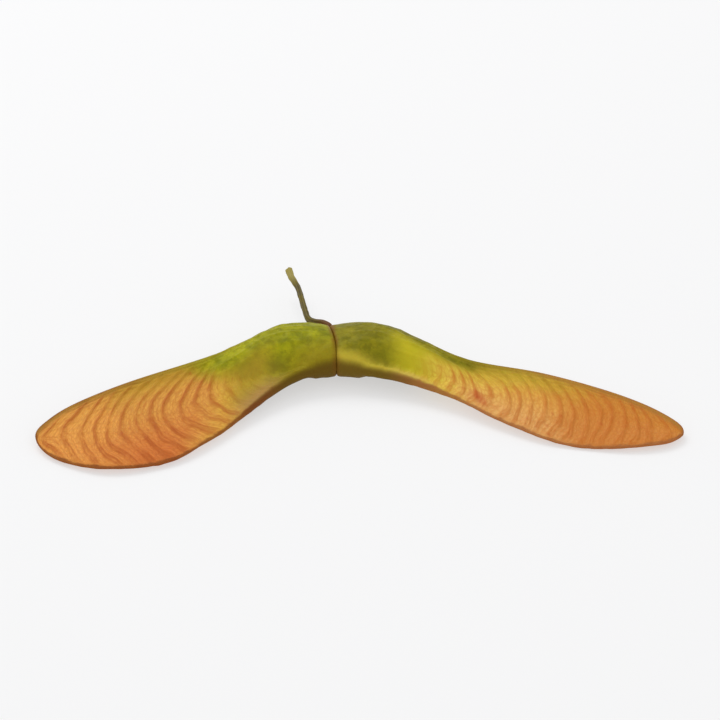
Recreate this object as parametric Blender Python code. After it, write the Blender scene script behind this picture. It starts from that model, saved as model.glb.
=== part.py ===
# Maple samara: two winged nutlets that meet at a seam, and the short dry stalk behind them.
# It lies on a flat surface. Metres, +Z up, +X along the spread wings, +Y towards the stalk.

import math

import bmesh
import bpy
import numpy as np

MM = 0.001

# Driving dimensions, in millimetres
SEAM_GAP = 0.3            # clearance between the faces of the two nutlets
NUTLET_THICK = 3.2        # thickest place of a nutlet
NUTLET_CREST = 3.3        # how far from the seam that place is
NUTLET_REACH = 11.2       # where the swelling has died away into the wing
NUTLET_WIDTH = 6.2        # across the swelling at the seam, where the edges allow it
NUTLET_END_WIDTH = 3.0    # across the swelling at its outer end
SEAM_THICK_SHARE = 0.85   # thickness at the seam, as a share of the thickest place
WING_THICK = 0.4          # the thin blade
RIB_THICK = 1.1           # stiff rib along the leading edge, beside the nutlet
RIB_TIP_THICK = 0.6       # the same rib at the tip
RIB_WIDTH = 1.3
MARGIN_THICK = 0.9        # rolled margin of the trailing edge, beside the seam
MARGIN_WIDTH = 1.0
MARGIN_REACH = 13.0       # where that margin has thinned into the blade
EDGE_ROUND = 0.3          # radius that rounds the blade's edge
STALK_RADIUS = 0.24

STATIONS = 38             # sections from the seam to the tip
RING_POINTS = 26          # points round one section

# Edge of each winged nutlet, seen as a line at half thickness: from the back of the seam, along
# the leading edge, round the tip, and back along the trailing edge to the front of the seam.
# (x, y, z) from the middle of the seam, in millimetres. The tip is the middle entry. Both edges
# share their first and last points, because the seam slants from back left to front right.
RIGHT_EDGE = (
    (-0.3, 2.3, 0.0),
    (1.7, 2.6, 0.1),
    (3.8, 2.1, 0.1),
    (6.4, 0.2, 0.1),
    (10.0, -1.8, -0.1),
    (15.0, -3.2, -0.3),
    (20.0, -5.3, -0.7),
    (23.4, -7.7, -1.0),
    (24.4, -9.4, -1.25),
    (23.0, -10.9, -1.4),
    (19.6, -11.3, -1.4),
    (15.2, -10.4, -1.3),
    (11.6, -8.2, -1.0),
    (8.2, -5.6, -0.6),
    (5.0, -3.9, -0.3),
    (2.2, -3.1, -0.1),
    (0.3, -2.7, 0.0),
)
LEFT_EDGE = (
    (-0.3, 2.3, 0.0),
    (-1.8, 2.6, 0.1),
    (-3.9, 1.9, 0.2),
    (-6.8, -0.4, 0.2),
    (-10.2, -2.6, 0.2),
    (-14.2, -4.8, 0.0),
    (-17.4, -6.8, -0.3),
    (-19.5, -8.4, -0.7),
    (-20.5, -10.2, -1.1),
    (-19.0, -12.6, -1.4),
    (-15.4, -14.2, -1.4),
    (-11.2, -13.2, -1.4),
    (-8.4, -10.6, -1.25),
    (-6.2, -7.7, -1.0),
    (-4.1, -5.1, -0.6),
    (-2.1, -3.5, -0.2),
    (0.3, -2.7, 0.0),
)

# Middle line of the stalk and its thickness as a share of STALK_RADIUS, from the joint outwards
STALK_LINE = (
    ((-0.3, 2.9, 0.42), 1.2),
    ((-0.85, 3.05, 0.44), 1.15),
    ((-1.4, 3.2, 0.46), 1.1),
    ((-1.8, 3.75, 0.46), 1.0),
    ((-2.1, 5.4, 0.44), 0.95),
    ((-2.55, 8.2, 0.4), 0.95),
    ((-3.05, 10.0, 0.34), 1.1),
    ((-3.3, 11.2, 0.3), 1.25),
)


def clear_scene():
    for item in list(bpy.data.objects):
        bpy.data.objects.remove(item, do_unlink=True)


def plant_material(name, colour, roughness):
    material = bpy.data.materials.new(name)
    material.use_nodes = True
    shader = material.node_tree.nodes["Principled BSDF"]
    shader.inputs["Base Color"].default_value = (*colour, 1.0)
    shader.inputs["Roughness"].default_value = roughness
    shader.inputs["Metallic"].default_value = 0.0
    return material


def smooth_line(knots, steps):
    # Catmull-Rom curve through the knots, `steps` points to each span
    knots = np.asarray(knots, float)
    padded = np.vstack([2 * knots[0] - knots[1], knots, 2 * knots[-1] - knots[-2]])
    points = []
    for index in range(len(knots) - 1):
        before, start, end, after = padded[index:index + 4]
        for t in np.linspace(0.0, 1.0, steps, endpoint=False):
            points.append(0.5 * (2 * start + (end - before) * t
                                 + (2 * before - 5 * start + 4 * end - after) * t ** 2
                                 + (3 * start - before - 3 * end + after) * t ** 3))
    points.append(knots[-1])
    return np.array(points)


def evenly_spaced(points, count):
    travelled = np.concatenate([[0.0], np.cumsum(np.linalg.norm(np.diff(points, axis=0), axis=1))])
    wanted = np.linspace(0.0, travelled[-1], count)
    return np.stack([np.interp(wanted, travelled, points[:, axis]) for axis in range(3)], axis=1)


def rails(edge):
    # The leading and trailing edges, both from the seam to the tip, with matching stations
    tip = len(edge) // 2
    line = smooth_line(edge, 24)
    leading = line[:tip * 24 + 1]
    trailing = line[tip * 24:][::-1]
    return evenly_spaced(leading, STATIONS), evenly_spaced(trailing, STATIONS)


def arch(distance, half_width):
    # Half circle of unit height over a strip that is two half widths wide
    return math.sqrt(max(0.0, 1.0 - (distance / half_width - 1.0) ** 2))


def half_thickness(reach, length, from_leading, chord):
    along = reach / length
    from_trailing = chord - from_leading
    from_tip = length - reach
    blade = 0.5 * WING_THICK
    for distance in (from_leading, from_trailing, from_tip):
        if distance < EDGE_ROUND:
            blade *= arch(distance, EDGE_ROUND)
    rib = 0.5 * (RIB_THICK + (RIB_TIP_THICK - RIB_THICK) * along) * arch(from_leading, 0.5 * RIB_WIDTH)
    rib *= arch(min(from_tip, 0.5 * RIB_WIDTH), 0.5 * RIB_WIDTH)
    margin = 0.5 * MARGIN_THICK * max(0.0, 1.0 - reach / MARGIN_REACH)
    margin *= arch(from_trailing, 0.5 * MARGIN_WIDTH)
    return math.hypot(blade, rib, margin, nutlet_swelling(reach, from_leading, chord))


def nutlet_swelling(reach, from_leading, chord):
    if reach >= NUTLET_REACH:
        return 0.0
    if reach < NUTLET_CREST:
        height = 1.0 - (1.0 - SEAM_THICK_SHARE) * (1.0 - reach / NUTLET_CREST) ** 2
    else:
        outward = (reach - NUTLET_CREST) / (NUTLET_REACH - NUTLET_CREST)
        height = (1.0 - outward ** 2) ** 0.9
    taper = reach / NUTLET_REACH
    width = min(chord, NUTLET_WIDTH + (NUTLET_END_WIDTH - NUTLET_WIDTH) * taper)
    return 0.5 * NUTLET_THICK * height * arch(from_leading, 0.5 * width) ** (1.0 + 0.8 * taper)


def section(leading, trailing, reach, length):
    # Closed ring round one station, in the upright plane through both edges
    chord = np.linalg.norm(leading - trailing)
    ring = []
    for index in range(RING_POINTS):
        angle = math.tau * index / RING_POINTS
        across = 0.5 * (1.0 + math.cos(angle))
        point = trailing + (leading - trailing) * across
        height = half_thickness(reach, length, (1.0 - across) * chord, chord)
        side = 1.0 if math.sin(angle) > 1e-9 else -1.0 if math.sin(angle) < -1e-9 else 0.0
        ring.append((point[0], point[1], point[2] + side * height))
    return ring


def winged_nutlet(name, edge, side, material, parent):
    leading, trailing = rails(edge)
    middle = 0.5 * (leading + trailing)
    reaches = np.concatenate([[0.0], np.cumsum(np.linalg.norm(np.diff(middle, axis=0), axis=1))])
    length = reaches[-1]
    mesh = bpy.data.meshes.new(name)
    shape = bmesh.new()
    rings = []
    for station in range(STATIONS - 1):
        ring = section(leading[station], trailing[station], reaches[station], length)
        rings.append([shape.verts.new((x * MM, y * MM, z * MM)) for x, y, z in ring])
    tip = shape.verts.new([value * MM for value in leading[-1]])
    for inner, outer in zip(rings, rings[1:]):
        for index in range(RING_POINTS):
            following = (index + 1) % RING_POINTS
            shape.faces.new((inner[index], inner[following], outer[following], outer[index]))
    for index in range(RING_POINTS):
        shape.faces.new((rings[-1][index], rings[-1][(index + 1) % RING_POINTS], tip))
    shape.faces.new(rings[0])
    bmesh.ops.recalc_face_normals(shape, faces=shape.faces)
    bmesh.ops.triangulate(shape, faces=[face for face in shape.faces if len(face.verts) > 4])
    shape.to_mesh(mesh)
    shape.free()
    mesh.materials.append(material)
    mesh.shade_smooth()
    mesh.set_sharp_from_angle(angle=math.radians(50))
    piece = bpy.data.objects.new(name, mesh)
    bpy.context.scene.collection.objects.link(piece)
    piece.parent = parent
    piece.location = (side * 0.5 * SEAM_GAP * MM, 0.0, 0.0)
    return piece


def stalk(name, material, parent):
    curve = bpy.data.curves.new(name, "CURVE")
    curve.dimensions = "3D"
    curve.bevel_depth = STALK_RADIUS * MM
    curve.bevel_resolution = 3
    curve.use_fill_caps = True
    places = smooth_line([place for place, share in STALK_LINE], 5)
    shares = smooth_line([(share, 0.0, 0.0) for place, share in STALK_LINE], 5)[:, 0]
    spline = curve.splines.new("POLY")
    spline.points.add(len(places) - 1)
    for point, place, share in zip(spline.points, places, shares):
        point.co = (*(place * MM), 1.0)
        point.radius = share
    curve.materials.append(material)
    piece = bpy.data.objects.new(name, curve)
    bpy.context.scene.collection.objects.link(piece)
    piece.parent = parent
    return piece


def world_points(piece):
    evaluated = piece.evaluated_get(bpy.context.evaluated_depsgraph_get())
    mesh = evaluated.to_mesh()
    points = [evaluated.matrix_world @ vertex.co for vertex in mesh.vertices]
    evaluated.to_mesh_clear()
    return points


def stand_on_origin(parent, pieces):
    # Puts the middle of the underside of the whole thing's box on the origin
    bpy.context.view_layer.update()
    points = np.array([point for piece in pieces for point in world_points(piece)])
    low, high = points.min(axis=0), points.max(axis=0)
    parent.location = (-0.5 * (low[0] + high[0]), -0.5 * (low[1] + high[1]), -low[2])
    bpy.context.view_layer.update()


def build():
    clear_scene()
    fruit = bpy.data.objects.new("maple_samara", None)
    bpy.context.scene.collection.objects.link(fruit)
    left_skin = plant_material("left_wing_orange", (0.60, 0.27, 0.06), 0.6)
    right_skin = plant_material("right_wing_gold", (0.58, 0.31, 0.07), 0.6)
    bark = plant_material("dry_stalk_brown", (0.20, 0.14, 0.05), 0.75)
    pieces = [
        winged_nutlet("left_samara", LEFT_EDGE, -1, left_skin, fruit),
        winged_nutlet("right_samara", RIGHT_EDGE, 1, right_skin, fruit),
        stalk("stalk", bark, fruit),
    ]
    stand_on_origin(fruit, pieces)


build()
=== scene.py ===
import math

import bpy
import numpy as np
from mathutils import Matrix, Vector


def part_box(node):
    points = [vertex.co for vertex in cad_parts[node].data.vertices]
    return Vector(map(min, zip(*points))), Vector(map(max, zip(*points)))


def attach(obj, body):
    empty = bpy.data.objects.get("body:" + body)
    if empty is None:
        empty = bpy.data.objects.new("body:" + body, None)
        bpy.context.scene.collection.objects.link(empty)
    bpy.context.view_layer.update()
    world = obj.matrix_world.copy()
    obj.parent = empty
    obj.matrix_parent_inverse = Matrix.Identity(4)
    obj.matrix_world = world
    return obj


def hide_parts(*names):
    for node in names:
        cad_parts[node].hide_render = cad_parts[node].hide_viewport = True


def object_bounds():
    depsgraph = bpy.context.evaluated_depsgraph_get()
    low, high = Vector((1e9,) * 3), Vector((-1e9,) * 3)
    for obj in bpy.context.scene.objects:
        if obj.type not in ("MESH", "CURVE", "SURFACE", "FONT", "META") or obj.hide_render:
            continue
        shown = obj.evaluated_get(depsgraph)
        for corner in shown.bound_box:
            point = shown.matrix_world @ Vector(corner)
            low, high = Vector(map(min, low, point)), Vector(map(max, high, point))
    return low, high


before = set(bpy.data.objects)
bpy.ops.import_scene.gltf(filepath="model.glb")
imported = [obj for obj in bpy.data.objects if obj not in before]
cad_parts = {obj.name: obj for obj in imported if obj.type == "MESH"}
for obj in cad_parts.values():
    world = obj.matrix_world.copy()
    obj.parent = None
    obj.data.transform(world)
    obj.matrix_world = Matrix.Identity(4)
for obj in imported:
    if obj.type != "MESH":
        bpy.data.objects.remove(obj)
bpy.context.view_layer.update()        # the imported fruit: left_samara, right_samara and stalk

mm = 0.001
scene = bpy.context.scene


def linearColour(hexCode):
    # "#rrggbb" to the linear values that shaders take
    values = [int(hexCode[i:i + 2], 16) / 255 for i in (1, 3, 5)]
    return tuple(v / 12.92 if v <= 0.04045 else ((v + 0.055) / 1.055) ** 2.4 for v in values) + (1.0,)


def ease(value, low, high):
    # 0 below low, 1 above high, smooth between
    t = np.clip((value - low) / (high - low), 0.0, 1.0)
    return t * t * (3.0 - 2.0 * t)


def quarterRound(distance, radius):
    # height of a rounded edge, 0 at the edge and 1 from the radius inwards
    t = np.clip(distance / radius, 0.0, 1.0)
    return np.sqrt(1.0 - (1.0 - t) ** 2)


def smoothLine(knots, steps):
    # Catmull-Rom curve through the knots
    knots = np.asarray(knots, float)
    padded = np.vstack([2 * knots[0] - knots[1], knots, 2 * knots[-1] - knots[-2]])
    t = np.linspace(0.0, 1.0, steps, endpoint=False)[:, None]
    spans = []
    for i in range(len(knots) - 1):
        a, b, c, d = padded[i:i + 4]
        spans.append(0.5 * (2 * b + (c - a) * t + (2 * a - 5 * b + 4 * c - d) * t ** 2
                            + (3 * b - a - 3 * c + d) * t ** 3))
    return np.vstack(spans + [knots[-1:]])


def lineLengths(points):
    return np.concatenate([[0.0], np.cumsum(np.linalg.norm(np.diff(points, axis=0), axis=1))])


def evenPoints(points, count):
    travelled = lineLengths(points)
    wanted = np.linspace(0.0, travelled[-1], count)
    return np.stack([np.interp(wanted, travelled, points[:, k]) for k in range(points.shape[1])], axis=1)


def softField(coordinates, size, seed, waves=44):
    # smooth random bumps about `size` across, roughly -1 to 1, made of plane waves
    rng = np.random.default_rng(seed)
    coordinates = np.stack(np.broadcast_arrays(*coordinates), axis=-1)
    total = np.zeros(coordinates.shape[:-1])
    for _ in range(waves):
        direction = rng.normal(size=coordinates.shape[-1])
        direction *= rng.uniform(0.6, 1.5) * math.pi / (size * np.linalg.norm(direction))
        total += np.cos(coordinates @ direction + rng.uniform(0.0, math.tau))
    return total / math.sqrt(waves)


def tubeObject(name, rings, startPoint, endPoint, marks):
    # closes a stack of rings into one skin; marks are float attributes, one value per ring point
    stations, around = rings.shape[:2]
    vertices = np.vstack([rings.reshape(-1, 3), [startPoint, endPoint]]) * mm
    first, last = stations * around, stations * around + 1
    j = np.arange(around)
    following = (j + 1) % around
    i = np.arange(stations - 1)[:, None] * around
    quads = np.stack([i + j, i + following, i + around + following, i + around + j], axis=-1).reshape(-1, 4)
    tail = (stations - 1) * around
    startFan = np.stack([following, j, np.full(around, first)], axis=-1)
    endFan = np.stack([tail + j, tail + following, np.full(around, last)], axis=-1)
    mesh = bpy.data.meshes.new(name)
    mesh.from_pydata(vertices.tolist(), [], quads.tolist() + startFan.tolist() + endFan.tolist())
    for markName, values in marks.items():
        values = np.broadcast_to(values, (stations, around))
        ends = [values[0].mean(), values[-1].mean()]
        attribute = mesh.attributes.new(markName, "FLOAT", "POINT")
        attribute.data.foreach_set("value", np.concatenate([values.ravel(), ends]).astype(np.float32))
    wrapUv(mesh, stations, around)
    mesh.shade_smooth()
    piece = bpy.data.objects.new(name, mesh)
    scene.collection.objects.link(piece)
    return piece


def wrapUv(mesh, stations, around):
    # the skin unrolled: round the ring along U, from one end to the other along V
    j = np.arange(around)
    v = np.linspace(0.03, 0.97, stations)
    quadU = np.tile(np.stack([j, j + 1, j + 1, j], axis=-1).ravel(), stations - 1)
    quadV = np.repeat(np.stack([v[:-1], v[:-1], v[1:], v[1:]], axis=-1), around, axis=0).ravel()
    startU = np.stack([j + 1, j, j + 0.5], axis=-1).ravel()
    startV = np.tile([v[0], v[0], 0.005], around)
    endU = np.stack([j, j + 1, j + 0.5], axis=-1).ravel()
    endV = np.tile([v[-1], v[-1], 0.995], around)
    across = 0.005 + 0.98 * np.concatenate([quadU, startU, endU]) / around
    upward = np.concatenate([quadV, startV, endV])
    layer = mesh.uv_layers.new(name="OFBake")
    layer.data.foreach_set("uv", np.stack([across, upward], axis=-1).astype(np.float32).ravel())


nutletForm = {                 # millimetres, shared by both winged nutlets
    "thick": 3.2,
    "crestAt": 3.3,            # thickest place, from the seam
    "endsAt": 11.4,
    "seamWidth": 6.2,
    "endWidth": 2.6,
    "seamShare": 0.86,         # thickness at the seam beside the thickest place
    "lipRound": 0.24,          # how far the lips of the seam are rounded
    "lipDrop": 0.13,           # and how much of the thickness that takes
    "crownPower": 1.25,        # how soon the swelling falls away towards the wing
    "wrinkle": 0.04,           # height of its bumps
    "wrinkleSizes": (0.8, 0.36),
    "nerve": 0.05,             # height of the ridges that run to the rib
    "nerveCount": 2.3,         # on half of the nutlet's width
    "nerveWander": 0.3,
    "seamWave": 0.1,           # the seam's bow away from a straight line
}

bladeForm = {
    "thick": 0.3,
    "ribThick": 1.05,
    "ribTipThick": 0.48,
    "ribWidth": 1.1,
    "strandEvery": 0.27,       # the rib is a bundle of strands
    "strandHigh": 0.035,
    "marginThick": 0.8,        # rolled trailing margin beside the seam
    "marginReach": 12.0,
    "edgeThin": 0.2,           # the blade thins to this at its margin
    "veinStart": 0.7,          # where the veins leave the rib, from the leading edge
    "veinHigh": 0.07,
    "veinWide": 0.1,
    "wander": (0.2, 2.4),      # how far a vein strays, and over what length
    "fineWander": (0.075, 0.9),
    "forkAt": (0.22, 0.5),     # where a vein forks, as shares of the way to the trailing edge
    "twigAt": (0.6, 0.78),     # and where its two arms fork again
    "crossVeins": 6,           # short ones from each vein to the next
    "crossWide": 0.065,
    "fold": 0.06,              # how far the blade rises and sinks from vein to vein
    "pucker": 0.035,           # small hollows between the cross veins
    "wave": 0.12,              # slow waviness of the blade
    "waveLong": 4.6,
    "freckles": 18,
}

leftSamara = {
    "piece": "leftWingedNutlet",
    "node": "left_samara",
    "side": -1,
    "seed": 11,
    "veins": 18,
    "firstVein": 1.2,          # where the innermost vein starts, from the seam
    "veinSweep": 3.1,          # how far towards the tip a vein travels before it turns back
    "veinTurn": 3.0,           # above 1.57 it turns back before the margin
    "edge": [                  # back of the seam, leading edge, tip, trailing edge, front of the seam
        (-0.3, 2.3, 0.0), (-1.8, 2.6, 0.1), (-3.9, 1.9, 0.2), (-6.8, -0.4, 0.2), (-10.2, -2.6, 0.2),
        (-14.2, -4.8, 0.0), (-17.4, -6.8, -0.3), (-19.5, -8.4, -0.7), (-20.5, -10.2, -1.1),
        (-19.0, -12.6, -1.4), (-15.4, -14.2, -1.4), (-11.2, -13.2, -1.4), (-8.4, -10.6, -1.25),
        (-6.2, -7.7, -1.0), (-4.1, -5.1, -0.6), (-2.1, -3.5, -0.2), (0.3, -2.7, 0.0),
    ],
    "greenEnds": (12.0, 8.4),  # how far out the green goes, along the rib and along the margin
    "yellowReach": (3.6, 6.6), # where the neck turns yellow, from the seam
    "yellowFrom": (1.8, 3.8),  # and across it, from the leading edge
    "flankWide": 3.0,          # how far the flank band, partly painted shade, reaches in from the trailing edge
    "orangeFrom": (8.0, 12.5), # where gold turns to orange
    "deepFrom": (10.5, 14.5),  # where the trailing side deepens
    "tipFrom": (16.5, 20.5),   # where the colour of the tip takes over
    "spots": [],               # reddish blemishes: from the seam, from the leading edge, radius
    "colours": {
        "nutletDark": "#787a0a", "nutletLight": "#aca812", "speckle": "#5c5e06",
        # the two flank colours darken the trailing flank, partly as painted shade; the under colour is
        # painted shade underneath
        "greenOuter": "#b0902c", "flankTintAndShade": "#8c7814", "flankOuterTintAndShade": "#a67c4a", "underShadeColour": "#5e4410",
        "gold": "#dcac44", "orange": "#da9e48", "deep": "#d27438", "tip": "#e8a44e",
        "ribGold": "#bc942c", "vein": "#a64f1d", "ribVein": "#a37a1c",
        "line": "#948820", "lineTip": "#9a7226", "rim": "#7c421a", "seam": "#7a4c14",
        "spot": "#a8401a",
    },
}

rightSamara = {
    "piece": "rightWingedNutlet",
    "node": "right_samara",
    "side": 1,
    "seed": 29,
    "veins": 24,
    "firstVein": 1.2,
    "veinSweep": 1.7,
    "veinTurn": 2.6,
    "edge": [
        (-0.3, 2.3, 0.0), (1.7, 2.6, 0.1), (3.8, 2.1, 0.1), (6.4, 0.2, 0.1), (10.0, -1.8, -0.1),
        (15.0, -3.2, -0.3), (20.0, -5.3, -0.7), (23.4, -7.7, -1.0), (24.4, -9.4, -1.25),
        (23.0, -10.9, -1.4), (19.6, -11.3, -1.4), (15.2, -10.4, -1.3), (11.6, -8.2, -1.0),
        (8.2, -5.6, -0.6), (5.0, -3.9, -0.3), (2.2, -3.1, -0.1), (0.3, -2.7, 0.0),
    ],
    "greenEnds": (13.0, 7.4),
    "yellowReach": (3.0, 5.8),
    "yellowFrom": (1.0, 2.9),
    "flankWide": 1.4,
    "orangeFrom": (10.0, 16.0),
    "deepFrom": (8.0, 12.0),
    "tipFrom": (15.0, 20.5),
    "spots": [(11.3, 4.1, 0.55)],
    "colours": {
        "nutletDark": "#6e6a0c", "nutletLight": "#918714", "speckle": "#54500a",
        # the flank colours are this side's own yellower tint; the under colour is painted shade underneath
        "greenOuter": "#c6b824", "flankTintAndShade": "#c6b038", "flankOuterTintAndShade": "#cbac56", "underShadeColour": "#5e4410",
        "gold": "#dcc04a", "orange": "#dca64a", "deep": "#e0a866", "tip": "#c87a32",
        "ribGold": "#c4a62e", "vein": "#b8641f", "ribVein": "#a08a1e",
        "line": "#887a14", "lineTip": "#a2742c", "rim": "#9c5f34", "seam": "#7a4c14",
        "spot": "#b03c18",
    },
}

grid = {
    "stations": 400,           # sections from the seam to the tip
    "halfRing": 116,           # steps across one face of a section
    "tipChord": 0.25,          # the tip closes where the wing is this narrow
}


def wingRails(edge):
    # leading and trailing edge, both from the seam to the tip, with matching stations
    middle = len(edge) // 2
    line = smoothLine(edge, 60)
    leading = evenPoints(line[:middle * 60 + 1], grid["stations"])
    trailing = evenPoints(line[middle * 60:][::-1], grid["stations"])
    keep = np.linalg.norm(leading - trailing, axis=1) > grid["tipChord"]
    return leading[keep], trailing[keep], line[middle * 60]


def ringPlaces(reach):
    # 0 on the leading edge and 1 on the trailing one, over the top and back underneath
    half = grid["halfRing"]
    even = np.arange(half + 1) / half
    curved = 0.5 * (1.0 - np.cos(math.pi * even))
    share = 1.0 - 0.6 * ease(reach, 4.0, 10.0)
    over = share * curved + (1.0 - share) * even
    above = np.concatenate([[0.0], np.ones(half - 1), [0.0], -np.ones(half - 1)])
    return np.hstack([over, over[:, -2:0:-1]]), above[None, :]


def swelling(reach, chord, fromLeading):
    # half thickness of the nutlet, and the place across it from -1 at the back to 1
    n = nutletForm
    inner = n["seamShare"] + (1.0 - n["seamShare"]) * ease(reach, -1.5, n["crestAt"])
    outward = np.clip((reach - n["crestAt"]) / (n["endsAt"] - n["crestAt"]), 0.0, 1.0)
    along = np.where(reach < n["crestAt"], inner, (1.0 - outward ** 2) ** n["crownPower"])
    width = n["seamWidth"] + (n["endWidth"] - n["seamWidth"]) * np.clip(reach / n["endsAt"], 0.0, 1.0)
    width = np.minimum(chord, width)
    place = np.clip((fromLeading - 0.5 * width) / (0.5 * width), -1.0, 1.0)
    foot = np.where(place > 0.0, 0.5 + 0.9 * ease(reach, -1.0, 7.0), 0.5)
    return 0.5 * n["thick"] * along * (1.0 - place ** 2) ** foot, place


def veinNetwork(form, reach, fromLeading, w, width, length):
    # height of the veins and the fold of the blade between them, both 0 to 1, and the phase, which
    # stays the same all along a vein
    b = bladeForm
    rng = np.random.default_rng(form["seed"])
    sweep = form["veinSweep"] * (0.4 + 0.6 * ease(length - reach, 0.5, 10.0))

    def bend(at):
        return np.sin(form["veinTurn"] * np.clip(at, 0.0, 1.0) ** 0.8)

    step = 0.01
    slope = sweep * (bend(w + step) - bend(w - step)) / (2.0 * step * width)
    lean = 1.0 / np.sqrt(1.0 + slope ** 2)
    place = [reach, 0.6 * fromLeading]
    wander = b["wander"][0] * softField(place, b["wander"][1], form["seed"] + 4)
    wander = wander + b["fineWander"][0] * softField(place, b["fineWander"][1], form["seed"] + 5)
    phase = reach - sweep * bend(w) + wander
    count = form["veins"]
    starts = np.linspace(form["firstVein"], length - 1.0, count) + rng.uniform(-0.17, 0.17, count)
    gaps = np.append(np.diff(starts), 1.0)
    height = np.zeros_like(phase)

    def ridge(centre, strength, begin):
        # one vein, thick at the rib and thin at the margin
        spread = b["veinWide"] * (0.5 + 0.5 * strength) * (1.15 - 0.4 * w)
        return strength * ease(w, begin, begin + 0.06) * np.exp(-((phase - centre) * lean / spread) ** 2)

    for start, gap in zip(starts, gaps):
        fork = rng.uniform(*b["forkAt"])
        apart = gap * rng.uniform(0.2, 0.27) * ease(w, fork, 1.15)
        twigFork = rng.uniform(*b["twigAt"])
        twigApart = gap * 0.13 * ease(w, twigFork, 1.1)
        height = np.maximum(height, ridge(start + apart, 1.0, -0.3))
        height = np.maximum(height, ridge(start - apart, 0.85, fork - 0.03))
        height = np.maximum(height, ridge(start + apart + twigApart, 0.6, twigFork))
        height = np.maximum(height, ridge(start - apart - twigApart, 0.55, twigFork + 0.05))
        halfway = start + gap * rng.uniform(0.45, 0.55)
        height = np.maximum(height, ridge(halfway, 0.5, rng.uniform(0.0, 0.3)))
        part = (phase - start) / gap
        between = ease(part, 0.0, 0.15) * (1.0 - ease(part, 0.85, 1.0))
        for _ in range(b["crossVeins"]):
            at = rng.uniform(0.1, 0.97)
            tilt = rng.uniform(-0.08, 0.08)
            away = (w - at - tilt * (part - 0.5)) * width / b["crossWide"]
            height = np.maximum(height, 0.4 * between * np.exp(-away ** 2))
    fold = 0.5 + 0.5 * np.cos(math.tau * np.interp(phase, starts, np.arange(count)))
    return height, fold, phase


def blemishes(form, reach, fromLeading, length):
    # the named spots and some freckles, 0 to 1
    rng = np.random.default_rng(form["seed"] + 40)
    freckles = [(rng.uniform(7.0, length - 1.0), rng.uniform(1.0, 7.0), rng.uniform(0.05, 0.12))
                for _ in range(bladeForm["freckles"])]
    ragged = 1.0 + 0.35 * softField([reach, fromLeading], 0.5, form["seed"] + 41, 16)
    total = np.zeros_like(fromLeading)
    for at, across, radius in form["spots"] + freckles:
        away = np.hypot(reach - at, fromLeading - across) / (radius * ragged)
        total = np.maximum(total, min(1.0, 0.4 + radius) * np.exp(-away ** 2))
    return total


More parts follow.
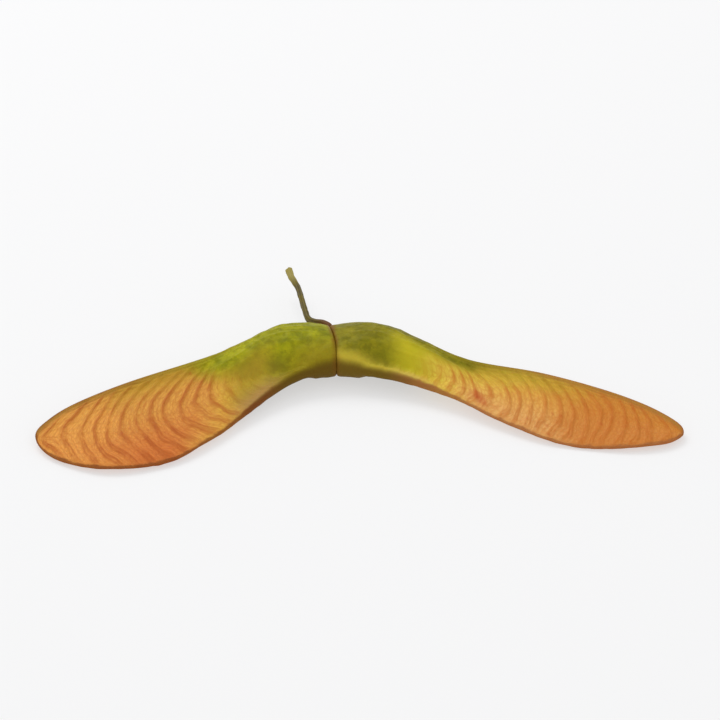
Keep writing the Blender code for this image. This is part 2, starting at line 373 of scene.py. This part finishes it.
def wingedNutlet(form):
    leading, trailing, tip = wingRails(form["edge"])
    middle = 0.5 * (leading + trailing)
    reach = lineLengths(middle)[:, None]
    chord = np.linalg.norm(leading - trailing, axis=1)[:, None]
    length = reach[-1, 0] + 0.5 * chord[-1, 0]
    across, above = ringPlaces(reach)
    fromLeading = across * chord
    fromTrailing = chord - fromLeading
    fromTip = length - reach
    base = leading[:, None, :] * (1.0 - across[..., None]) + trailing[:, None, :] * across[..., None]
    spot = [base[..., 0], base[..., 1], base[..., 2], above]
    nutlet, place = swelling(reach, chord, fromLeading)
    nutletShare = np.clip(nutlet / (0.5 * nutletForm["thick"]), 0.0, 1.0)
    onBlade = 1.0 - ease(nutletShare, 0.12, 0.42)

    # the thin blade, the bundle of strands along its leading edge and its rolled margin
    b = bladeForm
    along = reach / length
    ribHigh = 0.5 * (b["ribThick"] + (b["ribTipThick"] - b["ribThick"]) * along) - 0.5 * b["thick"]
    rib = ribHigh * (1.0 - ease(fromLeading, 0.35 * b["ribWidth"], 1.25 * b["ribWidth"]))
    rib = rib * ease(fromTip, 0.0, 3.0)
    marginHigh = 0.5 * b["marginThick"] * (1.0 - ease(reach, 1.0, b["marginReach"]))
    margin = marginHigh * (1.0 - ease(fromTrailing, 0.3, 1.5))
    strandPlace = fromLeading + 0.05 * softField([reach, fromLeading], 2.2, 5)
    strands = 0.5 + 0.5 * np.cos(math.tau * strandPlace / b["strandEvery"])
    strands = strands * ease(fromLeading, 0.2, 0.4) * (1.0 - ease(fromLeading, 0.9, 1.4))
    strands = strands * ease(reach, 4.0, 8.0)
    strands = strands * ease(fromTip, 0.5, 4.0)

    # the veins leave the rib, stand proud of both faces and fade out over the nutlet
    veinSpan = chord - b["veinStart"]
    w = (fromLeading - b["veinStart"]) / np.maximum(veinSpan, 0.2)
    veins, fold, phase = veinNetwork(form, reach, fromLeading, w, np.maximum(veinSpan, 0.8), length)
    veins = veins * onBlade * ease(fromTip, 0.15, 1.0) * ease(fromLeading, 0.4, 1.0)
    veins = veins * ease(fromTrailing, 0.1, 0.7)
    hollow = 0.5 + 0.5 * softField([1.6 * phase, 2.6 * w, above], 0.8, form["seed"] + 3)
    thin = 0.5 * (b["thick"] - b["edgeThin"]) * (1.0 - ease(fromTrailing, 0.1, 1.2))
    blade = 0.5 * b["thick"] - thin + rib + margin + b["strandHigh"] * strands
    blade = blade + b["veinHigh"] * veins * (1.0 - 0.4 * ease(w, 0.3, 1.0))
    blade = blade - b["pucker"] * onBlade * hollow * ease(w, 0.0, 0.2) * (1.0 - veins)
    blade = blade * quarterRound(fromLeading, np.clip(ribHigh + 0.5 * b["thick"], 0.2, 1.0))
    blade = blade * quarterRound(fromTrailing, 0.5 * b["thick"] + marginHigh) * quarterRound(fromTip, 0.35)

    # bumps and nerves of the nutlet, and the rounded lips of the seam
    n = nutletForm
    large, small = n["wrinkleSizes"]
    bumps = 0.6 * softField(spot, large, form["seed"]) + 0.4 * softField(spot, small, form["seed"] + 1)
    nervePlace = place * n["nerveCount"] + n["nerveWander"] * softField(spot, 2.4, form["seed"] + 2)
    nerves = np.clip(np.cos(math.tau * nervePlace), 0.0, 1.0) ** 2
    rough = nutletShare ** 0.5 * (n["wrinkle"] * bumps + n["nerve"] * nerves * ease(reach, 0.6, 3.0))
    rough = rough * quarterRound(fromLeading, 0.5) * quarterRound(fromTrailing, 0.5)
    rough = rough * ease(reach, -0.4, 0.6)
    height = (nutlet ** 2.4 + blade ** 2.4) ** (1 / 2.4) + rough
    lip = quarterRound(reach, n["lipRound"])
    height = height * (1.0 - n["lipDrop"] * (1.0 - lip))
    drawIn = (1.0 - 0.04 * (1.0 - lip))[..., None]
    base = middle[:, None, :] * (1.0 - drawIn) + base * drawIn

    # slow waves of the blade, its folds from vein to vein, and the bow of the seam
    sway = softField([reach, 2.0 + fromLeading * 0.45], b["waveLong"], form["seed"] + 7)
    sway = b["wave"] * sway * ease(reach, 7.0, 13.0) * ease(w, 0.1, 0.8)
    crease = b["fold"] * (fold - 0.5) * onBlade * ease(w, 0.02, 0.2) * (1.0 - ease(w, 0.75, 1.0))
    crease = crease * ease(fromTip, 0.3, 2.0)
    bow = n["seamWave"] * np.sin(math.pi * across ** 2) * (1.0 - ease(reach, 0.0, 2.0))
    touch = -0.003 * form["side"]      # the two faces meet
    upright = base[..., 2] + above * height + sway + crease
    rings = np.stack([base[..., 0] + bow + touch, base[..., 1], upright], axis=-1)
    below = ease(fromLeading, 0.0, 0.6)              # painted shade: on the underside, with a soft start
    lowEdge = 1.0 - ease(fromTrailing, 0.0, 0.45)    # painted shade: on top, only along the trailing edge
    marks = {
        "reach": reach,
        "share": across,
        "faceHeight": above * height,
        "leadingGap": fromLeading,
        "trailingGap": fromTrailing,
        "rimGap": np.minimum(fromTrailing, fromTip),
        "veinHeight": veins,
        "veinFold": fold,
        "veinPhase": phase,
        "nutletShare": nutletShare,
        "underShadeMask": np.where(above < 0.0, below, lowEdge),
        "blemish": blemishes(form, reach, fromLeading, length),
    }
    return rings, middle[0], tip, marks


def seatOnFloor(shapes):
    # the seam's middle, in the frame: between the two CAD nutlets, with the lowest skin on the floor
    leftLow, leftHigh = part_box("left_samara")
    rightLow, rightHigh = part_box("right_samara")
    seamBack = rightSamara["edge"][0][0]
    backmost = max(knot[1] for knot in rightSamara["edge"])
    lowest = min(rings[..., 2].min() for rings, start, tip, marks in shapes)
    seamFront = rightSamara["edge"][-1][0]
    return np.array([
        0.5 * (leftHigh.x + rightLow.x) / mm - 0.5 * (seamBack + seamFront),
        rightHigh.y / mm - backmost,
        min(leftLow.z, rightLow.z) / mm - lowest,
    ])


def newGroup(name, inputs, outputs):
    group = bpy.data.node_groups.new(name, "ShaderNodeTree")
    for socketName, kind, value in inputs:
        socket = group.interface.new_socket(socketName, in_out="INPUT", socket_type=kind)
        if value is not None:
            socket.default_value = value
    for socketName, kind in outputs:
        group.interface.new_socket(socketName, in_out="OUTPUT", socket_type=kind)
    start = group.nodes.new("NodeGroupInput")
    end = group.nodes.new("NodeGroupOutput")
    return group, start.outputs, end.inputs


def feed(tree, socket, value):
    if isinstance(value, bpy.types.NodeSocket):
        tree.links.new(value, socket)
    else:
        socket.default_value = value


def node(tree, kind, settings=None, **links):
    # one node; links are its sockets by name, with _ for a space, each a value or another node's output
    made = tree.nodes.new(kind)
    for key, value in (settings or {}).items():
        setattr(made, key, value)
    for key, value in links.items():
        feed(tree, made.inputs[key.replace("_", " ")], value)
    return made


def maths(tree, operation, first, second=0.0):
    made = node(tree, "ShaderNodeMath", {"operation": operation})
    feed(tree, made.inputs[0], first)
    feed(tree, made.inputs[1], second)
    return made.outputs[0]


def times(tree, first, second):
    return maths(tree, "MULTIPLY", first, second)


def remap(tree, value, low, high, toLow=0.0, toHigh=1.0):
    # toLow at low and below, toHigh at high and above, smooth between
    made = node(tree, "ShaderNodeMapRange", {"interpolation_type": "SMOOTHSTEP"}, Value=value,
                From_Min=low, From_Max=high, To_Min=toLow, To_Max=toHigh)
    return made.outputs["Result"]


def blendColours(tree, share, first, second):
    made = node(tree, "ShaderNodeMix", {"data_type": "RGBA"})
    for index, value in ((0, share), (6, first), (7, second)):
        feed(tree, made.inputs[index], linearColour(value) if isinstance(value, str) else value)
    return made.outputs[2]


def mottleGroup():
    # soft blotches: a mask that is 0 or 1 in patches of the given size, in millimetres
    sockets = [("Position", "NodeSocketVector", None), ("Size", "NodeSocketFloat", 1.0),
               ("Detail", "NodeSocketFloat", 3.0), ("Low", "NodeSocketFloat", 0.4),
               ("High", "NodeSocketFloat", 0.6)]
    group, given, out = newGroup("plantMottle", sockets, [("Mask", "NodeSocketFloat")])
    noise = node(group, "ShaderNodeTexNoise", {"noise_dimensions": "3D"}, Vector=given["Position"],
                 Scale=maths(group, "DIVIDE", 1.0, given["Size"]), Detail=given["Detail"], Roughness=0.6)
    group.links.new(remap(group, noise.outputs[0], given["Low"], given["High"]), out["Mask"])
    return group


def cellGroup():
    # fine cell net of dry plant skin: its walls as a mask, and its relief as a height
    sockets = [("Position", "NodeSocketVector", None), ("Size", "NodeSocketFloat", 0.3),
               ("Grain", "NodeSocketFloat", 1.0)]
    results = [("Walls", "NodeSocketFloat"), ("Height", "NodeSocketFloat")]
    group, given, out = newGroup("drySkinCells", sockets, results)
    scale = maths(group, "DIVIDE", 1.0, given["Size"])
    cells = node(group, "ShaderNodeTexVoronoi", {"feature": "DISTANCE_TO_EDGE"},
                 Vector=given["Position"], Scale=scale)
    walls = remap(group, cells.outputs["Distance"], 0.0, 0.22, 1.0, 0.0)
    grain = node(group, "ShaderNodeTexNoise", Vector=given["Position"],
                 Scale=times(group, scale, 2.6), Detail=4.0)
    grainHeight = times(group, grain.outputs[0], given["Grain"])
    group.links.new(walls, out["Walls"])
    group.links.new(maths(group, "ADD", times(group, walls, 0.5), grainHeight), out["Height"])
    return group


print("shader groups")
plantMottle = mottleGroup()
drySkinCells = cellGroup()


def mottle(tree, position, size, low, high, detail=3.0):
    made = node(tree, "ShaderNodeGroup", {"node_tree": plantMottle}, Position=position, Size=size,
                Low=low, High=high, Detail=detail)
    return made.outputs["Mask"]


def skinCells(tree, position, size):
    return node(tree, "ShaderNodeGroup", {"node_tree": drySkinCells}, Position=position, Size=size).outputs


def mark(tree, name):
    return node(tree, "ShaderNodeAttribute", {"attribute_name": name}).outputs["Fac"]


def millimetres(tree):
    place = tree.nodes.new("ShaderNodeTexCoord").outputs["Object"]
    return node(tree, "ShaderNodeVectorMath", {"operation": "SCALE"}, Vector=place, Scale=1000.0).outputs[0]


def newMaterial(name):
    material = bpy.data.materials.new(name)
    material.use_nodes = True
    return material, material.node_tree, material.node_tree.nodes["Principled BSDF"]


skinFinish = {                 # shares are from 0 to 1, sizes in millimetres
    "cloudScale": 0.35,        # slow unevenness of where one colour gives way to the next
    "cloudShift": 6.0,
    "netSize": 0.24,           # net of cells on the blade
    "netShare": 0.26,
    "grainSize": 0.22,
    "grainShare": 0.2,
    "foldShade": (0.12, 0.48), # how dark the folds are, in faint bands and in strong ones
    "veinShade": (0.2, 0.62),  # and the veins
    "mottleSize": 1.5,         # blotches on the nutlet
    "speckleSize": 0.5,
    "speckleShare": 0.35,
    "yellowShare": 0.8,
    # how strong the flank band is, partly painted shade
    "flankTintAndShadeShare": 0.8,
    # how strong the painted shade underneath is
    "underShadeShare": 0.9,
    "lineShare": 0.82,         # dark line along the leading edge
    "fibreShare": 0.25,
    "rimWide": (0.16, 0.3),
    "rimShare": 0.8,
    "spotShare": 0.75,
    "seamWide": (0.14, 0.26),
    "seamShare": 0.78,
    "nutletCells": 0.34,
    "bumpStrength": 0.4,
    "bumpDistance": 0.00003,   # metres
    "specular": 0.07,
    "subsurface": 0.1,
    "subsurfaceReach": 0.0003, # metres
}


def bladeColour(tree, form, marks, outward, veinPlace, net):
    # gold by the nutlet and the rib, orange further out, deepest towards the trailing margin
    f, colours, share, gap = skinFinish, form["colours"], marks["share"], marks["leadingGap"]
    orangeShare = remap(tree, outward, *form["orangeFrom"])
    blade = blendColours(tree, orangeShare, colours["gold"], colours["orange"])
    deepShare = times(tree, remap(tree, share, 0.3, 0.9), remap(tree, outward, *form["deepFrom"]))
    blade = blendColours(tree, times(tree, deepShare, 0.85), blade, colours["deep"])
    blade = blendColours(tree, remap(tree, outward, *form["tipFrom"], 0.0, 0.8), blade, colours["tip"])
    ribShare = remap(tree, gap, 0.4, 3.2, 0.8, 0.0)
    ribShare = times(tree, ribShare, remap(tree, outward, 16.0, 21.5, 1.0, 0.15))
    blade = blendColours(tree, ribShare, blade, colours["ribGold"])

    # the veins and the skin beside them are darker; some bands more than others
    veinRed = maths(tree, "MAXIMUM", remap(tree, gap, 0.7, 2.8), remap(tree, outward, 15.0, 20.0))
    vein = blendColours(tree, veinRed, colours["ribVein"], colours["vein"])
    bands = mottle(tree, veinPlace, 0.9, 0.35, 0.65, 2.0)
    foldShade = remap(tree, bands, 0.0, 1.0, *f["foldShade"])
    foldShade = times(tree, remap(tree, marks["veinFold"], 0.25, 1.0), foldShade)
    blade = blendColours(tree, foldShade, blade, vein)
    blade = blendColours(tree, times(tree, net, f["netShare"]), blade, vein)
    grain = mottle(tree, veinPlace, f["grainSize"], 0.45, 0.65)
    blade = blendColours(tree, times(tree, grain, f["grainShare"]), blade, vein)
    broken = remap(tree, mottle(tree, veinPlace, 0.7, 0.3, 0.7, 2.0), 0.0, 1.0, *f["veinShade"])
    return blendColours(tree, times(tree, marks["veinHeight"], broken), blade, vein)


def nutletColour(tree, form, marks, place):
    # olive, softly mottled and yellow at the neck; a band along the trailing flank, partly its own tint and
    # partly painted shade; browner underneath as painted shade
    f, colours, reach = skinFinish, form["colours"], marks["reach"]
    blotches = mottle(tree, place, f["mottleSize"], 0.25, 0.75, 4.0)
    green = blendColours(tree, blotches, colours["nutletDark"], colours["nutletLight"])
    speckles = times(tree, mottle(tree, place, f["speckleSize"], 0.45, 0.62, 4.0), f["speckleShare"])
    green = blendColours(tree, speckles, green, colours["speckle"])
    yellowing = remap(tree, reach, *form["yellowReach"], 0.0, f["yellowShare"])
    yellowing = times(tree, yellowing, remap(tree, marks["leadingGap"], *form["yellowFrom"]))
    green = blendColours(tree, yellowing, green, colours["greenOuter"])
    # a band along the trailing flank: partly its own tint, partly painted shade
    flankTintAndShade = blendColours(tree, remap(tree, reach, 3.0, 6.0), colours["flankTintAndShade"], colours["flankOuterTintAndShade"])
    flankTintAndShadeShare = remap(tree, marks["trailingGap"], 0.3, form["flankWide"], f["flankTintAndShadeShare"], 0.0)
    green = blendColours(tree, flankTintAndShadeShare, green, flankTintAndShade)
    # painted shade: browner underneath and in a thin band along the trailing edge on top
    return blendColours(tree, times(tree, marks["underShadeMask"], f["underShadeShare"]), green, colours["underShadeColour"])


def edgeBand(tree, gap, width, share):
    # a narrow band along an edge, with a soft inner side
    return remap(tree, maths(tree, "SUBTRACT", gap, width), -0.1, 0.14, share, 0.0)


def edgeColours(tree, skin, colours, marks, place):
    # a dark line along the leading edge, the rib's fibres, a thin brown rim, blemishes and the seam
    f, reach, gap = skinFinish, marks["reach"], marks["leadingGap"]
    line = blendColours(tree, remap(tree, reach, 10.0, 18.0), colours["line"], colours["lineTip"])
    lineFade = remap(tree, gap, 0.4, 0.95, f["lineShare"], 0.0)
    skin = blendColours(tree, times(tree, lineFade, remap(tree, reach, 2.0, 6.0)), skin, line)
    fibrePlace = node(tree, "ShaderNodeCombineXYZ", X=times(tree, reach, 0.1), Y=gap,
                      Z=marks["faceHeight"]).outputs[0]
    fibres = mottle(tree, fibrePlace, 0.16, 0.4, 0.6, 2.0)
    fibres = times(tree, fibres, remap(tree, reach, 9.0, 14.0))
    fibres = times(tree, fibres, remap(tree, gap, 0.7, 1.3, f["fibreShare"], 0.0))
    skin = blendColours(tree, fibres, skin, colours["rim"])

    rimWide = remap(tree, mottle(tree, place, 0.9, 0.3, 0.7), 0.0, 1.0, *f["rimWide"])
    rim = edgeBand(tree, marks["rimGap"], rimWide, f["rimShare"])
    rim = times(tree, rim, remap(tree, reach, 3.0, 7.0))
    skin = blendColours(tree, rim, skin, colours["rim"])
    leadingRim = edgeBand(tree, gap, rimWide, f["rimShare"])
    leadingRim = times(tree, leadingRim, remap(tree, reach, 11.0, 20.0))
    skin = blendColours(tree, leadingRim, skin, colours["rim"])
    skin = blendColours(tree, times(tree, marks["blemish"], f["spotShare"]), skin, colours["spot"])

    seamWide = remap(tree, mottle(tree, place, 1.3, 0.3, 0.7, 2.0), 0.0, 1.0, *f["seamWide"])
    seamLine = remap(tree, maths(tree, "SUBTRACT", reach, seamWide), -0.16, 0.2, f["seamShare"], 0.0)
    seamLine = times(tree, seamLine, remap(tree, marks["share"], 0.55, 0.9, 1.0, 0.55))
    return blendColours(tree, seamLine, skin, colours["seam"])


def skinSurface(tree, shader, marks, place, net):
    # dry and matt, a little waxier on the nutlet; the relief follows the cells of each
    f = skinFinish
    patches = remap(tree, mottle(tree, place, 0.5, 0.3, 0.7), 0.0, 1.0, 0.0, 0.12)
    waxy = remap(tree, marks["nutletShare"], 0.1, 0.7, 0.56, 0.45)
    tree.links.new(maths(tree, "ADD", patches, waxy), shader.inputs["Roughness"])
    cells = skinCells(tree, place, f["nutletCells"])
    relief = node(tree, "ShaderNodeMix", {"data_type": "FLOAT"})
    feed(tree, relief.inputs[0], remap(tree, marks["nutletShare"], 0.1, 0.5))
    feed(tree, relief.inputs[2], net["Height"])
    feed(tree, relief.inputs[3], cells["Height"])
    bump = node(tree, "ShaderNodeBump", Strength=f["bumpStrength"], Distance=f["bumpDistance"],
                Height=relief.outputs[0])
    tree.links.new(bump.outputs[0], shader.inputs["Normal"])
    shader.inputs["Specular IOR Level"].default_value = f["specular"]
    shader.inputs["Subsurface Weight"].default_value = f["subsurface"]
    shader.inputs["Subsurface Radius"].default_value = (1.0, 0.45, 0.15)
    shader.inputs["Subsurface Scale"].default_value = f["subsurfaceReach"]


def wingSkin(form):
    material, tree, shader = newMaterial(form["piece"] + "Skin")
    place = millimetres(tree)
    f = skinFinish
    names = ("reach", "share", "leadingGap", "trailingGap", "rimGap", "faceHeight", "veinHeight",
             "veinFold", "veinPhase", "nutletShare", "underShadeMask", "blemish")
    marks = {name: mark(tree, name) for name in names}
    cloud = node(tree, "ShaderNodeTexNoise", Vector=place, Scale=f["cloudScale"], Detail=3.0).outputs[0]
    shift = times(tree, maths(tree, "SUBTRACT", cloud, 0.5), f["cloudShift"])
    outward = maths(tree, "ADD", marks["reach"], shift)

    # coordinates that run with the veins, so that the net of cells is long along them
    veinPlace = node(tree, "ShaderNodeCombineXYZ", X=marks["veinPhase"],
                     Y=times(tree, marks["leadingGap"], 0.45),
                     Z=times(tree, marks["underShadeMask"], 9.0)).outputs[0]
    net = skinCells(tree, veinPlace, f["netSize"])

    # the nutlet's green gives way to the blade, further out along the rib than along the margin
    blade = bladeColour(tree, form, marks, outward, veinPlace, net["Walls"])
    green = nutletColour(tree, form, marks, place)
    greenEnd = remap(tree, marks["share"], 0.0, 0.6, *form["greenEnds"])
    halfOutward = times(tree, maths(tree, "ADD", outward, marks["reach"]), 0.5)
    greenShare = remap(tree, maths(tree, "SUBTRACT", halfOutward, greenEnd), -2.0, 1.8, 1.0, 0.0)
    skin = blendColours(tree, greenShare, blade, green)
    skin = edgeColours(tree, skin, form["colours"], marks, place)
    tree.links.new(skin, shader.inputs["Base Color"])
    skinSurface(tree, shader, marks, place, net)
    return material


shapes = [wingedNutlet(leftSamara), wingedNutlet(rightSamara)]
seamPlace = seatOnFloor(shapes)
for form, (rings, start, tip, marks) in zip((leftSamara, rightSamara), shapes):
    if form["side"] < 0:           # keeps the faces outward on the other hand
        rings = rings[:, ::-1]
        marks = {key: values[:, ::-1] for key, values in marks.items()}
    piece = tubeObject(form["piece"], rings + seamPlace, start + seamPlace, tip + seamPlace, marks)
    piece.data.materials.append(wingSkin(form))
    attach(piece, "root")
    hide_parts(form["node"])
    print(form["piece"], len(piece.data.polygons), "faces")


stalkForm = {
    "radius": 0.215,
    "stations": 190,
    "around": 44,
    "ridges": 6,
    "ridgeHigh": 0.07,         # share of the radius
    "twist": 0.14,             # turns of the ridges, radians per millimetre
    "line": [                  # from the seam outwards, with the thickness there
        (-0.22, 2.2, 0.1, 1.5), (-0.3, 2.6, 0.34, 1.4), (-0.7, 2.95, 0.44, 1.2), (-1.35, 3.15, 0.48, 1.1),
        (-1.8, 3.7, 0.47, 1.0), (-2.1, 5.4, 0.44, 0.93), (-2.55, 8.2, 0.4, 0.95), (-3.05, 10.0, 0.34, 1.1),
        (-3.3, 11.2, 0.3, 1.3),
    ],
    "bark": "#5f5218",
    "barkDark": "#423609",
    "base": "#6b3d14",         # beside the seam
    "pale": "#a0924a",         # on the ridges and at the torn end
    "cellSize": 0.16,
    "specular": 0.25,
}


def stalkRings(form):
    line = evenPoints(smoothLine(form["line"], 30), form["stations"])
    centre, share = line[:, :3], line[:, 3:]
    ahead = np.gradient(centre, axis=0)
    ahead /= np.linalg.norm(ahead, axis=1)[:, None]
    side = np.cross(ahead, [0.0, 0.0, 1.0])
    side /= np.linalg.norm(side, axis=1)[:, None]
    up = np.cross(side, ahead)
    angle = np.arange(form["around"]) / form["around"] * math.tau
    travelled = lineLengths(centre)[:, None]
    circle = np.cos(angle)[None, :, None] * side[:, None, :] + np.sin(angle)[None, :, None] * up[:, None, :]
    ridge = np.cos(form["ridges"] * (angle[None, :] + form["twist"] * travelled))
    skin = centre[:, None, :] + 0.5 * circle
    bumps = 0.06 * softField([skin[..., 0], skin[..., 1], skin[..., 2]], 0.5, 71)
    ends = 0.25 + 0.75 * quarterRound(travelled[-1] - travelled, 0.16) * quarterRound(travelled + 0.02, 0.3)
    radius = form["radius"] * share * (1.0 + form["ridgeHigh"] * ridge + bumps) * ends
    rings = centre[:, None, :] + circle * radius[..., None]
    broken = 0.1 * softField([circle[..., 0], circle[..., 1], circle[..., 2]], 0.9, 13)
    broken = broken * ease(travelled, travelled[-1] - 0.35, travelled[-1])
    rings = rings + ahead[:, None, :] * broken[..., None]
    marks = {"alongStalk": travelled / travelled[-1], "ridgeHeight": 0.5 + 0.5 * ridge}
    return rings, centre[0], centre[-1], marks


def stalkBark(form):
    material, tree, shader = newMaterial("stalkBark")
    place = millimetres(tree)
    along, ridge = mark(tree, "alongStalk"), mark(tree, "ridgeHeight")
    patches = mottle(tree, place, 0.7, 0.35, 0.65, 4.0)
    bark = blendColours(tree, patches, form["barkDark"], form["bark"])
    bark = blendColours(tree, times(tree, ridge, 0.25), bark, form["pale"])
    bark = blendColours(tree, remap(tree, along, 0.05, 0.2, 0.85, 0.0), bark, form["base"])
    bark = blendColours(tree, remap(tree, along, 0.72, 0.88, 0.0, 0.8), bark, form["pale"])
    tree.links.new(bark, shader.inputs["Base Color"])
    tree.links.new(remap(tree, patches, 0.0, 1.0, 0.6, 0.8), shader.inputs["Roughness"])
    cells = skinCells(tree, place, form["cellSize"])
    bump = node(tree, "ShaderNodeBump", Strength=0.5, Distance=0.00003, Height=cells["Height"])
    tree.links.new(bump.outputs[0], shader.inputs["Normal"])
    shader.inputs["Specular IOR Level"].default_value = form["specular"]
    return material


rings, start, end, marks = stalkRings(stalkForm)
stalk = tubeObject("driedStalk", rings + seamPlace, start + seamPlace, end + seamPlace, marks)
stalk.data.materials.append(stalkBark(stalkForm))
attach(stalk, "root")
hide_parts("stalk")
print("driedStalk", len(stalk.data.polygons), "faces")


studio = {
    "floor": "#a0a0a1",
    "floorGlow": 0.55,         # the sheet is lit a little from behind, so shadows stay pale
    "floorSize": 6.0,          # metres
    "worldStrength": 0.76,
    "elevation": 30.0,         # degrees above the floor
    "lens": 200.0,
    "fill": 0.88,              # share of the picture's width that the fruit takes
    "lights": [                # name, place in millimetres, size in millimetres, power in watts
        ("backSoftbox", (-110.0, 170.0, 260.0), 200.0, 0.42),
        ("frontFill", (120.0, -320.0, 220.0), 300.0, 0.15),
    ],
}


def makeFloor(low, form):
    mesh = bpy.data.meshes.new("paleFloor")
    half = 0.5 * form["floorSize"]
    z = low.z - 0.00001
    corners = [(-half, -half, z), (half, -half, z), (half, half, z), (-half, half, z)]
    mesh.from_pydata(corners, [], [(0, 1, 2, 3)])
    floor = bpy.data.objects.new("paleFloor", mesh)
    scene.collection.objects.link(floor)
    material, tree, shader = newMaterial("paleFloorPaint")
    shader.inputs["Base Color"].default_value = linearColour(form["floor"])
    shader.inputs["Roughness"].default_value = 0.9
    shader.inputs["Specular IOR Level"].default_value = 0.1
    shader.inputs["Emission Color"].default_value = (1.0, 1.0, 1.0, 1.0)
    shader.inputs["Emission Strength"].default_value = form["floorGlow"]
    mesh.materials.append(material)


def aim(item, target):
    item.rotation_euler = (Vector(target) - item.location).to_track_quat("-Z", "Y").to_euler()


def makeLights(centre, form):
    world = bpy.data.worlds.new("softSky")
    world.use_nodes = True
    background = world.node_tree.nodes["Background"]
    background.inputs["Color"].default_value = (1.0, 1.0, 1.0, 1.0)
    background.inputs["Strength"].default_value = form["worldStrength"]
    scene.world = world
    for name, place, size, power in form["lights"]:
        data = bpy.data.lights.new(name, "AREA")
        data.shape = "DISK"
        data.size = size * mm
        data.energy = power
        light = bpy.data.objects.new(name, data)
        scene.collection.objects.link(light)
        light.location = [value * mm for value in place]
        aim(light, centre)


def makeCamera(low, high, form):
    centre = 0.5 * (low + high)
    data = bpy.data.cameras.new("camera")
    data.lens = form["lens"]
    data.clip_start = 0.01
    data.clip_end = 20.0
    camera = bpy.data.objects.new("camera", data)
    scene.collection.objects.link(camera)
    distance = (high.x - low.x) / form["fill"] * data.lens / data.sensor_width
    tilt = math.radians(form["elevation"])
    camera.location = (centre.x, centre.y - distance * math.cos(tilt), centre.z + distance * math.sin(tilt))
    aim(camera, centre)
    scene.camera = camera


low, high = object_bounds()
makeFloor(low, studio)
makeLights(0.5 * (low + high), studio)
makeCamera(low, high, studio)
scene.view_settings.view_transform = "Standard"
print("floor, lights and camera")
